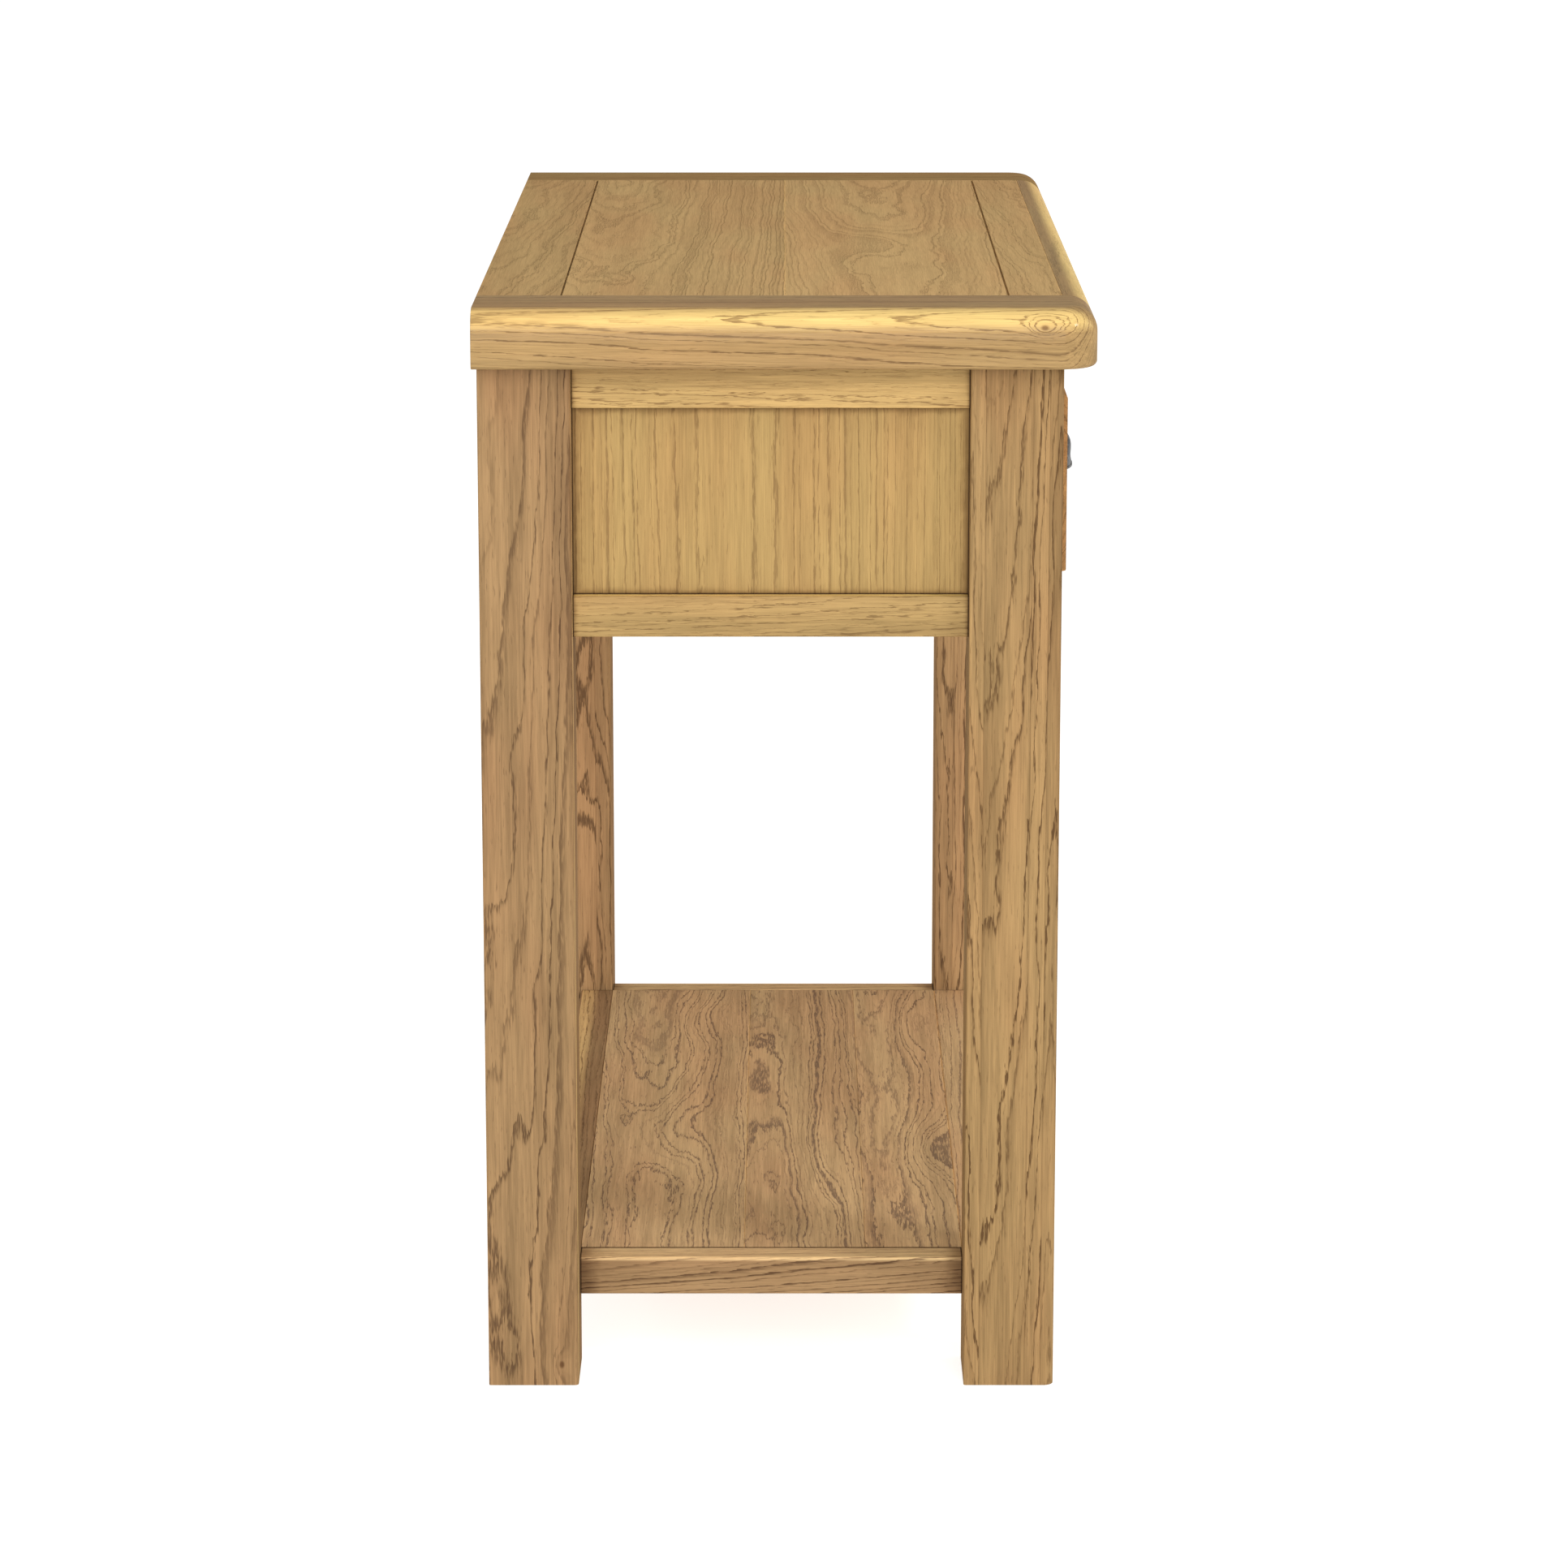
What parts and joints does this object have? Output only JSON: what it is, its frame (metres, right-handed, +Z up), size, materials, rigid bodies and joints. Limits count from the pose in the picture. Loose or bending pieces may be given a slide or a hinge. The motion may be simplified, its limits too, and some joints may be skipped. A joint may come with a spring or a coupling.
{
  "type": "side table",
  "caption": "Oak side table with a rounded top, panelled ends, drawers with cup pulls and a low shelf.",
  "frame": {"origin": "on the floor, under the middle of the top", "axes": "+Z up, +X along the table's length to the right of someone facing its front, -Y out of the drawers"},
  "size_m": [0.87, 0.414, 0.75],
  "materials": {
    "top_oak": "satin lacquered oak, a little darker and greyer than the frame",
    "frame_oak": "satin lacquered honey oak",
    "panel_oak": "satin lacquered honey oak, fine vertical grain",
    "shelf_oak": "satin lacquered honey oak",
    "drawer_oak": "satin lacquered honey oak",
    "inner_oak": "sanded, unlacquered pale oak",
    "pull_iron": "dark antique finish, rubbed lighter on its edges",
    "screw_steel": "zinc-plated"
  },
  "bodies": {
    "frame": {"top_breadboard_left": "top_oak", "top_breadboard_right": "top_oak", "top_board_back": "top_oak", "top_board_middle_back": "top_oak", "top_board_middle_front": "top_oak", "top_board_front": "top_oak", "top_front_nosing": "top_oak", "leg_front_left": "frame_oak", "leg_front_right": "frame_oak", "leg_back_left": "frame_oak", "leg_back_right": "frame_oak", "end_upper_rail_left": "frame_oak", "end_upper_rail_right": "frame_oak", "end_lower_rail_left": "frame_oak", "end_lower_rail_right": "frame_oak", "end_panel_left": "panel_oak", "end_panel_right": "panel_oak", "front_upper_rail": "frame_oak", "front_lower_rail": "frame_oak", "drawer_divider": "frame_oak", "back_upper_rail": "frame_oak", "back_lower_rail": "frame_oak", "back_panel": "panel_oak", "runner_left": "inner_oak", "runner_centre": "inner_oak", "runner_right": "inner_oak", "kicker_left": "inner_oak", "kicker_centre": "inner_oak", "kicker_right": "inner_oak", "drawer_stops": "inner_oak", "top_screws": "screw_steel", "runner_screws": "screw_steel", "shelf_end_rail_left": "shelf_oak", "shelf_end_rail_right": "shelf_oak", "shelf_front_rail": "shelf_oak", "shelf_back_rail": "shelf_oak", "shelf_board_back": "shelf_oak", "shelf_board_centre": "shelf_oak", "shelf_board_front": "shelf_oak", "shelf_cleats": "inner_oak", "shelf_screws": "screw_steel"},
    "left_drawer": {"left_drawer_front": "drawer_oak", "left_drawer_side_left": "inner_oak", "left_drawer_side_right": "inner_oak", "left_drawer_back": "inner_oak", "left_drawer_bottom": "inner_oak", "left_cup_pull": "pull_iron", "left_pull_screws": "screw_steel"},
    "right_drawer": {"right_drawer_front": "drawer_oak", "right_drawer_side_left": "inner_oak", "right_drawer_side_right": "inner_oak", "right_drawer_back": "inner_oak", "right_drawer_bottom": "inner_oak", "right_cup_pull": "pull_iron", "right_pull_screws": "screw_steel"}
  },
  "joints": [
    {"name": "left_drawer_slide", "type": "slide", "parent": "frame", "child": "left_drawer", "axis": [0, -1, 0], "range_m": [0, 0.26]},
    {"name": "right_drawer_slide", "type": "slide", "parent": "frame", "child": "right_drawer", "axis": [0, -1, 0], "range_m": [0, 0.26]}
  ]
}
